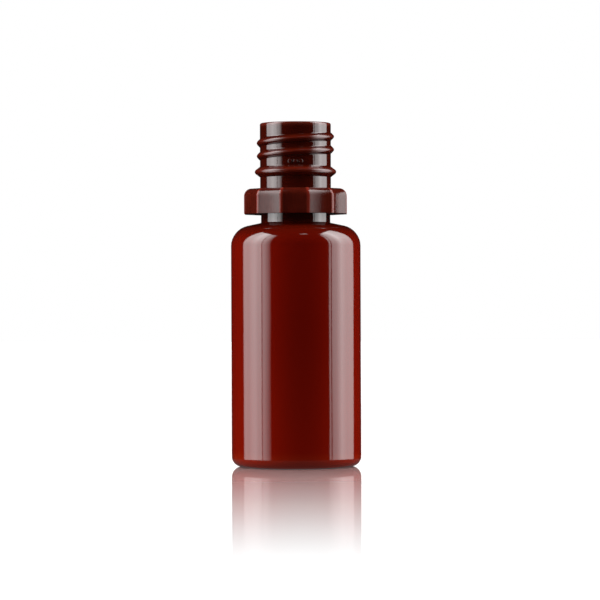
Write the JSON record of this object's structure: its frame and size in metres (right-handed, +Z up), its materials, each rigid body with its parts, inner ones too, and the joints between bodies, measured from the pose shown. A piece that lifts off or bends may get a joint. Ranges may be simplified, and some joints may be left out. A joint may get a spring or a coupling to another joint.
{
  "type": "small squeeze ink bottle",
  "caption": "Small round translucent dark red plastic ink bottle, open, with a threaded neck, a snap bead and a cogged neck ring.",
  "frame": {"origin": "centre of the base, in the plane of the standing ring", "axes": "+Z up along the bottle's axis towards the open neck, -Y towards the front with the row of raised dots"},
  "size_m": [0.0219, 0.0218, 0.058],
  "materials": {
    "red_pet_gloss": "glossy translucent deep red",
    "red_pet_satin": "fine satin grain, deep red"
  },
  "bodies": {
    "root": {"bottle_shell": "red_pet_gloss", "cog_ring": "red_pet_satin"}
  },
  "joints": []
}
